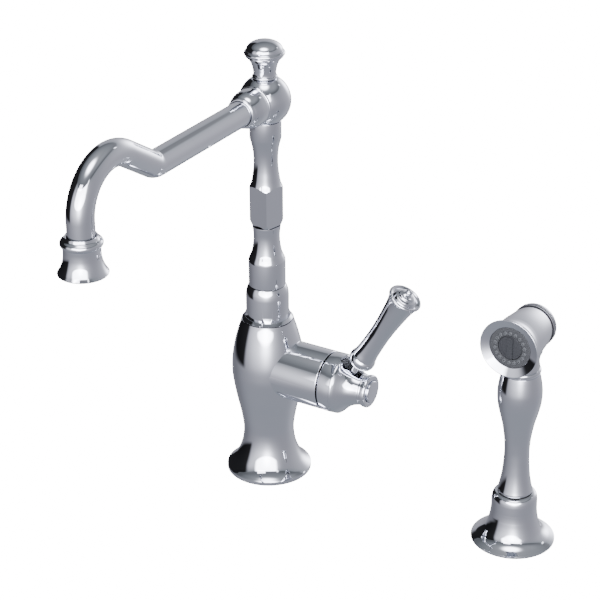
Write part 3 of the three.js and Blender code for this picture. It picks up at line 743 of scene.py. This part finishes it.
def plain_metal(name, colour, rough, scratch):
    """Unplated metal: turned brass, copper or steel with faint tool marks in its sheen."""
    material, tree, shader, coords = surface(name, Metallic=1.0)
    grain = add_node(tree, "ShaderNodeTexNoise", {"Vector": coords}, Scale=scratch, Detail=4.0).outputs["Fac"]
    pair = {"Color1": srgb(colour), "Color2": [c * 0.85 for c in srgb(colour)[:3]] + [1]}
    tone = add_node(tree, "ShaderNodeMixRGB", {"Fac": grain}, **pair)
    spread = add_node(tree, "ShaderNodeMapRange", {"Value": grain}, To_Min=rough * 0.8, To_Max=rough * 1.2)
    tree.links.new(tone.outputs["Color"], shader.inputs["Base Color"])
    tree.links.new(spread.outputs["Result"], shader.inputs["Roughness"])
    return material


FINISHES = {
    "brass": plain_metal("turned_brass", "#c9a765", 0.28, 400),
    "copper": plain_metal("drawn_copper", "#c98a6a", 0.3, 300),
    "steel": plain_metal("stainless_steel", "#a9abae", 0.32, 700),
    "rubber": moulded("black_rubber", "#1d1d1f", 0.7, 0.5),
    "nylon": moulded("grey_nylon", "#909297", 0.5, 0.05),
    "chrome": CHROME,
    "dark": DARK,
}
UNDER_DECK = -4
slots = {part["node"]: part["material_slot"] for part in frame["record"]["subparts"]}
for name, item in frame["nodes"].items():
    if not item.hide_render:
        item.data.materials.clear()
        item.data.materials.append(FINISHES[slots[name]])
        # The deck would hide what hangs under it from the chrome above, so it isn't mirrored there.
        lowest = min((item.matrix_world @ Vector(corner)).z for corner in item.bound_box)
        item.visible_glossy = lowest > UNDER_DECK * MM

# ---------------------------------------------------------------------------
# Set: a plain pale floor at the deck's height in a soft studio. For the chrome
# to mirror there are a white softbox ahead, a black card to the left, a pale
# glow behind and a lit ceiling; the camera itself sees plain white.
# ---------------------------------------------------------------------------
WHITE = 17.0  # bright enough for the renderer's tone curve to show it as white
FLOOR_HALF = 6
floor_mesh = bpy.data.meshes.new("studio_floor")
corners = [(x * FLOOR_HALF, y * FLOOR_HALF, 0) for x, y in ((-1, -1), (1, -1), (1, 1), (-1, 1))]
floor_mesh.from_pydata(corners, [], [(0, 1, 2, 3)])
floor = bpy.data.objects.new("studio_floor", floor_mesh)
bpy.context.scene.collection.objects.link(floor)
floor.visible_glossy = floor.visible_diffuse = floor.visible_shadow = False
pale = bpy.data.materials.new("pale_floor")
pale.use_nodes = True
pale.node_tree.nodes.clear()
glow = add_node(pale.node_tree, "ShaderNodeEmission", Color=srgb("#ffffff"), Strength=WHITE)
add_node(pale.node_tree, "ShaderNodeOutputMaterial", {"Surface": glow.outputs["Emission"]})
floor_mesh.materials.append(pale)


def studio_world():
    """Light by direction: azimuth 0 is where the spout points, 90 where the barrel points."""
    world = bpy.data.worlds.new("studio")
    world.use_nodes = True
    tree = world.node_tree
    tree.nodes.clear()

    def calc(operation, *values):
        """The result of one sum on numbers and sockets."""
        item = add_node(tree, "ShaderNodeMath", operation=operation)
        for socket, value in zip(item.inputs, values):
            if isinstance(value, (int, float)):
                socket.default_value = value
            else:
                tree.links.new(value, socket)
        return item.outputs[0]

    direction = add_node(tree, "ShaderNodeTexCoord").outputs["Generated"]
    axes = add_node(tree, "ShaderNodeSeparateXYZ", {"Vector": direction}).outputs
    azimuth = calc("DEGREES", calc("ARCTAN2", axes["X"], calc("MULTIPLY", axes["Y"], -1)))
    elevation = calc("DEGREES", calc("ARCSINE", axes["Z"]))

    def from_centre(centre):
        """Degrees of azimuth from there."""
        return calc("WRAP", calc("SUBTRACT", azimuth, centre), 180, -180)

    def bell(centre, height, across, up, strength):
        """A soft round glow."""
        x = calc("DIVIDE", from_centre(centre), across)
        y = calc("DIVIDE", calc("SUBTRACT", elevation, height), up)
        far = calc("ADD", calc("MULTIPLY", x, x), calc("MULTIPLY", y, y))
        return calc("MULTIPLY", calc("EXPONENT", calc("MULTIPLY", far, -1)), strength)

    def edge(value, outside, inside):
        """0 outside, 1 inside, smooth between."""
        rising = outside < inside
        ends = {"From_Min": min(outside, inside), "From_Max": max(outside, inside)}
        ends.update(To_Min=0.0 if rising else 1.0, To_Max=1.0 if rising else 0.0)
        smooth = {"interpolation_type": "SMOOTHSTEP"}
        return add_node(tree, "ShaderNodeMapRange", {"Value": value}, **smooth, **ends).outputs["Result"]

    def panel(centre, left, right, low, high, fade):
        """A rounded rectangle of light or dark; fade is how wide its edges are, in degrees."""
        x = from_centre(centre)
        across = calc("MULTIPLY", edge(x, left - fade[0], left), edge(x, right + fade[1], right))
        foot, top = edge(elevation, low - fade[2], low), edge(elevation, high + fade[3], high)
        return calc("MULTIPLY", across, calc("MULTIPLY", foot, top))

    def softbox(centre, half, straight, rounding, top, strength):
        """A tall panel of light with a straight top and a rounded foot, soft at its sides."""
        x = calc("DIVIDE", from_centre(centre), half)
        y = calc("MAXIMUM", calc("DIVIDE", calc("SUBTRACT", straight, elevation), rounding), 0)
        far = calc("SQRT", calc("ADD", calc("MULTIPLY", x, x), calc("MULTIPLY", y, y)))
        shape = calc("MULTIPLY", edge(far, 1.12, 0.8), edge(elevation, top + 2.5, top))
        return calc("MULTIPLY", shape, strength)

    def ramp(stops):
        """Colours by elevation, from (elevation, brightness, hex tint)."""
        place_on_ramp = calc("DIVIDE", calc("ADD", elevation, 90), 180)
        item = add_node(tree, "ShaderNodeValToRGB", {"Fac": place_on_ramp})
        while len(item.color_ramp.elements) < len(stops):
            item.color_ramp.elements.new(0.5)
        for element, (height, bright, tint) in zip(item.color_ramp.elements, stops):
            element.position = (height + 90) / 180
            element.color = [c * bright for c in srgb(tint)[:3]] + [1]
        return item.outputs["Color"]

    walls = ramp(
        [
            (-90, 0.40, "#e9f2ff"),
            (-40, 0.41, "#eef1ff"),
            (-15, 0.40, "#f3f2ff"),
            (28, 0.42, "#f3f4ff"),
            (35.5, 0.36, "#eef5ff"),
            (38.5, 0.12, "#eef6ff"),
            (43, 0.145, "#eef6ff"),
            (48, 0.21, "#eef6ff"),
            (60, 0.30, "#f0f7ff"),
            (90, 0.42, "#f8faff"),
        ]
    )
    ahead, height = math.radians(20), math.radians(77)
    lamp = Vector((math.sin(ahead), -math.cos(ahead), math.tan(height))).normalized()
    toward = add_node(tree, "ShaderNodeVectorMath", {0: direction}, operation="DOT_PRODUCT")
    toward.inputs[1].default_value = lamp
    off_lamp = calc("DEGREES", calc("ARCCOSINE", toward.outputs["Value"]))

    def halo(start, width, strength):
        """Light round the ceiling lamp: full as far as start degrees off it, then fading."""
        x = calc("DIVIDE", calc("MAXIMUM", calc("SUBTRACT", off_lamp, start), 0), width)
        fall = calc("EXPONENT", calc("MULTIPLY", calc("MULTIPLY", x, x), -1))
        return calc("MULTIPLY", fall, strength)

    dim = calc("SUBTRACT", 1, bell(-100, -28, 38, 24, 0.45))
    glows = [
        bell(10, 4, 42, 20, 1.7),
        bell(24, 9, 15, 14, 7.5),
        bell(50, 22, 14, 12, 1.1),
        bell(-35, 20, 14, 14, 0.35),
        bell(115, 54, 45, 10, 0.12),
        bell(178, 7, 15, 14, 5.5),
        bell(172, 10, 45, 30, 0.4),
        bell(60, 38, 3, 3, 5),
        bell(152, 37, 2.6, 2.6, 5),
        bell(162, -42, 28, 25, 0.15),
        halo(7.5, 7, 9),
        halo(0, 30, 0.17),
        softbox(20, 38, 14, 12, 36, 9),
        calc("MULTIPLY", panel(2, -11, 13, 36, 43, (4, 4, 3, 2.5)), 7),
    ]
    light = glows[0]
    for glow in glows[1:]:
        light = calc("ADD", light, glow)
    card = panel(-95, -33, 40, -17, 35.5, (5, 15, 6, 3))
    open_share = calc("SUBTRACT", 1, calc("MULTIPLY", card, 0.955))
    lit = add_node(tree, "ShaderNodeVectorMath", {0: walls, "Scale": dim}, operation="SCALE").outputs[0]
    tinted = add_node(tree, "ShaderNodeVectorMath", {"Scale": light}, operation="SCALE")
    tinted.inputs[0].default_value = srgb("#f7f7ff")[:3]
    total = add_node(tree, "ShaderNodeVectorMath", {0: lit, 1: tinted.outputs[0]}, operation="ADD").outputs[0]
    shaded = add_node(tree, "ShaderNodeVectorMath", {0: total, "Scale": open_share}, operation="SCALE")
    seen = add_node(tree, "ShaderNodeLightPath").outputs["Is Camera Ray"]
    mirrored = add_node(tree, "ShaderNodeBackground", {"Color": shaded.outputs[0]}, Strength=1.0)
    plain = add_node(tree, "ShaderNodeBackground", Color=srgb("#ffffff"), Strength=WHITE)
    sides = {0: seen, 1: mirrored.outputs["Background"], 2: plain.outputs["Background"]}
    both = add_node(tree, "ShaderNodeMixShader", sides)
    add_node(tree, "ShaderNodeOutputWorld", {"Surface": both.outputs["Shader"]})
    return world


bpy.context.scene.world = studio_world()

# ---------------------------------------------------------------------------
# Camera: the photograph's long lens, above and to the right of the spout.
# ---------------------------------------------------------------------------
AZIMUTH, ELEVATION, ROLL = math.radians(30.934), math.radians(26.518), math.radians(-0.212)
CAMERA_AT, SENSOR, LENS = (0.63924, -1.02314, 0.73327), 36.0, 117.6
level = math.cos(ELEVATION)
right = Vector((math.cos(AZIMUTH), math.sin(AZIMUTH), 0))
back = Vector((math.sin(AZIMUTH) * level, -math.cos(AZIMUTH) * level, math.sin(ELEVATION)))
camera_data = bpy.data.cameras.new("camera")
camera_data.sensor_width = SENSOR
camera_data.lens = LENS
camera = bpy.data.objects.new("camera", camera_data)
bpy.context.scene.collection.objects.link(camera)
looks = Matrix((right, back.cross(right), back)).transposed().to_4x4()
camera.matrix_world = Matrix.Translation(CAMERA_AT) @ looks @ Matrix.Rotation(ROLL, 4, "Z")
bpy.context.scene.camera = camera
